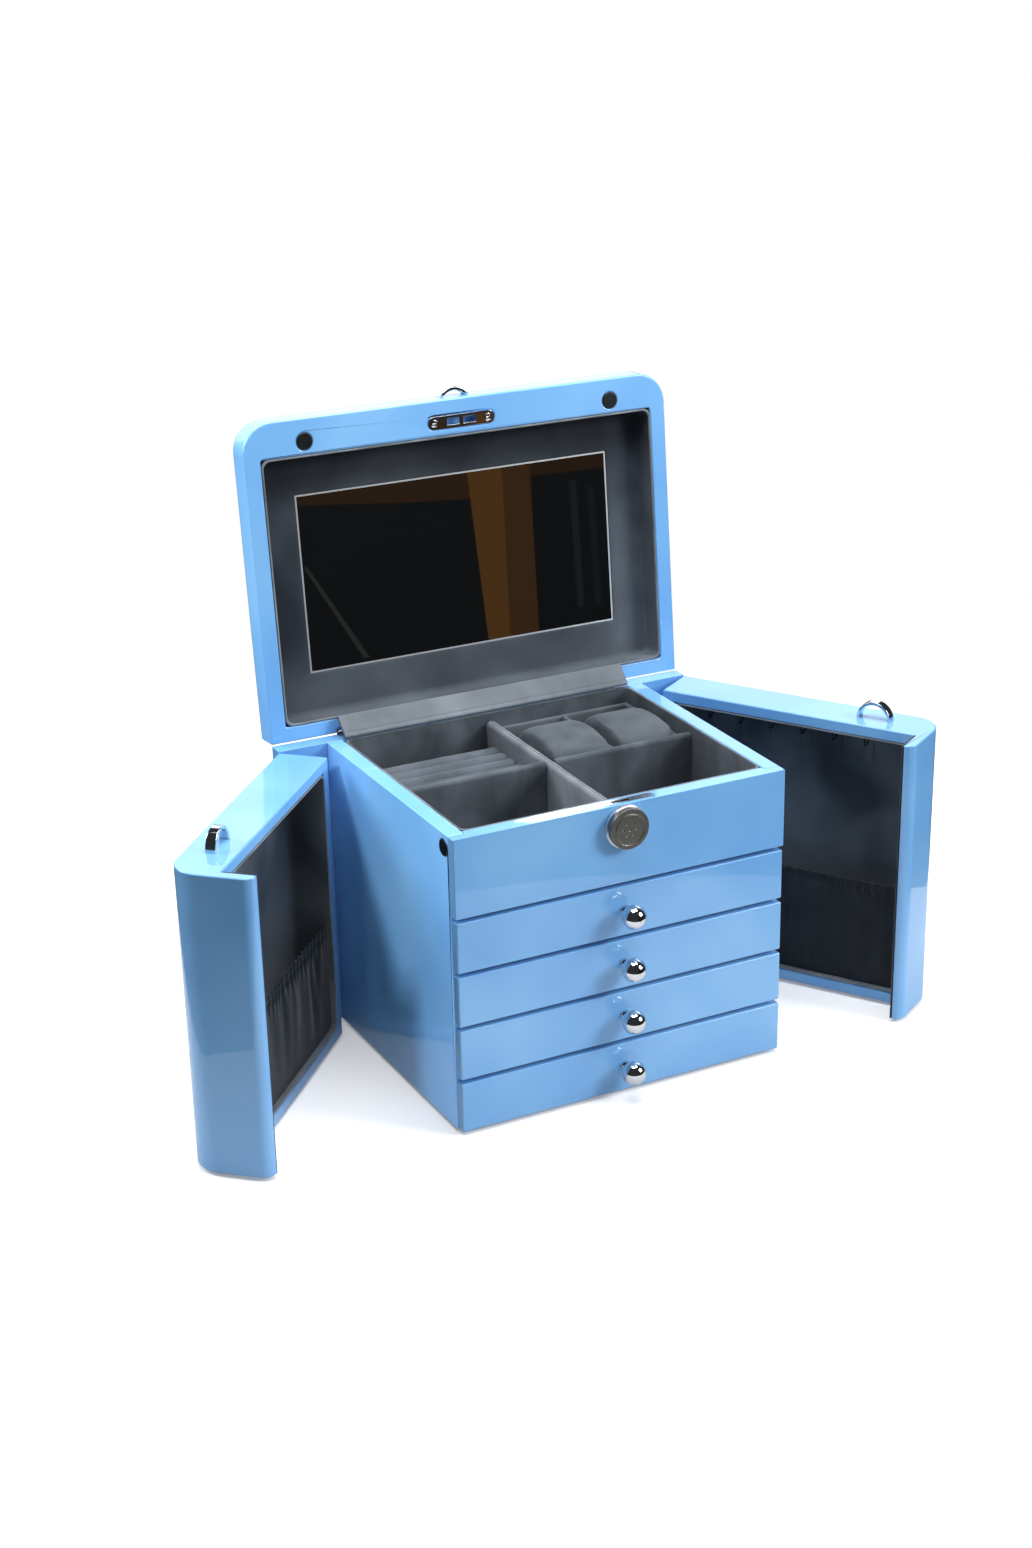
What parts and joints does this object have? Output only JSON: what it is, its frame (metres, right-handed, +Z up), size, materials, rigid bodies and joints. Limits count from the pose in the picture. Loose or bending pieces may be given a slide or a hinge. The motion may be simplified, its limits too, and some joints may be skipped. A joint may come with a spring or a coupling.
{
  "type": "jewelry armoire",
  "caption": "Table-top lacquered jewelry armoire with a hinged mirror lid, wrap-round side doors with hooks and pockets, a velvet tray and a stack of drawers.",
  "frame": {"origin": "middle of the underside of the felt base", "axes": "+Z up, -Y the front with the drawer faces, +X to the right seen from the front"},
  "size_m": [0.5721, 0.2848, 0.4502],
  "materials": {
    "lacquer": "high gloss sky-blue lacquer on fibreboard",
    "board": "plain fibreboard",
    "velvet": "dark grey velvet",
    "felt": "black felt",
    "chrome": "polished",
    "steel": "satin",
    "mirror": "silvered glass",
    "mirror_edge": "bright thin frame",
    "rubber": "satin black",
    "hook_brass": "aged, on velvet tabs"
  },
  "bodies": {
    "cabinet": {"base_felt": "felt", "side_left": "lacquer", "side_right": "lacquer", "front_rail": "lacquer", "back_board": "lacquer", "shelves": "board", "tray_lining": "velvet", "long_divider": "velvet", "cross_dividers": "velvet", "ring_rolls": "velvet", "pillow_tray": "velvet", "lock_plate": "chrome", "lock_case": "steel", "side_magnets": "rubber", "hinges_fixed": "steel"},
    "lock_turn": {"lock_knob": "chrome"},
    "left_claw": {"claw_left": "steel"},
    "right_claw": {"claw_right": "steel"},
    "lid": {"lid_shell": "lacquer", "lid_lining": "velvet", "mirror_backing": "mirror_edge", "mirror": "mirror", "strike_plate": "chrome", "lid_bumpers": "rubber", "lid_pull": "chrome", "lid_hinges": "steel"},
    "flap": {"flap": "velvet"},
    "left_door": {"left_door": "lacquer", "left_door_lining": "velvet", "left_lip_velvet": "velvet", "left_pocket": "velvet", "left_hooks": "hook_brass", "left_pull": "chrome", "left_hinges": "steel"},
    "right_door": {"right_door": "lacquer", "right_door_lining": "velvet", "right_lip_velvet": "velvet", "right_pocket": "velvet", "right_hooks": "hook_brass", "right_pull": "chrome", "right_hinges": "steel"},
    "drawer1": {"drawer1_face": "lacquer", "drawer1_box": "board", "drawer1_velvet": "velvet", "drawer1_knob": "chrome"},
    "drawer2": {"drawer2_face": "lacquer", "drawer2_box": "board", "drawer2_velvet": "velvet", "drawer2_knob": "chrome"},
    "drawer3": {"drawer3_face": "lacquer", "drawer3_box": "board", "drawer3_velvet": "velvet", "drawer3_knob": "chrome"},
    "drawer4": {"drawer4_face": "lacquer", "drawer4_box": "board", "drawer4_velvet": "velvet", "drawer4_knob": "chrome"},
    "left_pillow": {"pillow_left": "velvet"},
    "right_pillow": {"pillow_right": "velvet"}
  },
  "joints": [
    {"name": "lid_hinge", "type": "hinge", "parent": "cabinet", "child": "lid", "pos_m": [0, 0.1075, 0.221], "axis": [-1, 0, 0], "range_deg": [-95.3, 0]},
    {"name": "flap_crease", "type": "hinge", "parent": "cabinet", "child": "flap", "pos_m": [0, 0.0937, 0.2219], "axis": [-1, 0, 0], "range_deg": [-73.5, 0]},
    {"name": "left_door_hinge", "type": "hinge", "parent": "cabinet", "child": "left_door", "pos_m": [-0.165, 0.0953, 0], "axis": [0, 0, -1], "range_deg": [-42.6, 57.4]},
    {"name": "right_door_hinge", "type": "hinge", "parent": "cabinet", "child": "right_door", "pos_m": [0.165, 0.0953, 0], "axis": [0, 0, 1], "range_deg": [-33, 67]},
    {"name": "drawer1_slide", "type": "slide", "parent": "cabinet", "child": "drawer1", "axis": [0, -1, 0], "range_m": [0, 0.14]},
    {"name": "drawer2_slide", "type": "slide", "parent": "cabinet", "child": "drawer2", "axis": [0, -1, 0], "range_m": [0, 0.14]},
    {"name": "drawer3_slide", "type": "slide", "parent": "cabinet", "child": "drawer3", "axis": [0, -1, 0], "range_m": [0, 0.14]},
    {"name": "drawer4_slide", "type": "slide", "parent": "cabinet", "child": "drawer4", "axis": [0, -1, 0], "range_m": [0, 0.14]},
    {"name": "lock_turn", "type": "hinge", "parent": "cabinet", "child": "lock_turn", "pos_m": [0, -0.1075, 0.2048], "axis": [0, 1, 0], "range_deg": [0, 90]},
    {"name": "left_claw_turn", "type": "hinge", "parent": "cabinet", "child": "left_claw", "pos_m": [-0.011, -0.1015, 0.2162], "axis": [0, 1, 0], "range_deg": [-90, 0]},
    {"name": "right_claw_turn", "type": "hinge", "parent": "cabinet", "child": "right_claw", "pos_m": [0.011, -0.1015, 0.2162], "axis": [0, 1, 0], "range_deg": [0, 90]},
    {"name": "left_pillow_lift", "type": "slide", "parent": "cabinet", "child": "left_pillow", "axis": [0, 0, 1], "range_m": [0, 0.06]},
    {"name": "right_pillow_lift", "type": "slide", "parent": "cabinet", "child": "right_pillow", "axis": [0, 0, 1], "range_m": [0, 0.06]}
  ],
  "couplings": [
    {"joint": "flap_crease", "follows": "lid_hinge", "ratio": 0.771},
    {"joint": "left_claw_turn", "follows": "lock_turn", "ratio": -1},
    {"joint": "right_claw_turn", "follows": "lock_turn", "ratio": 1}
  ]
}
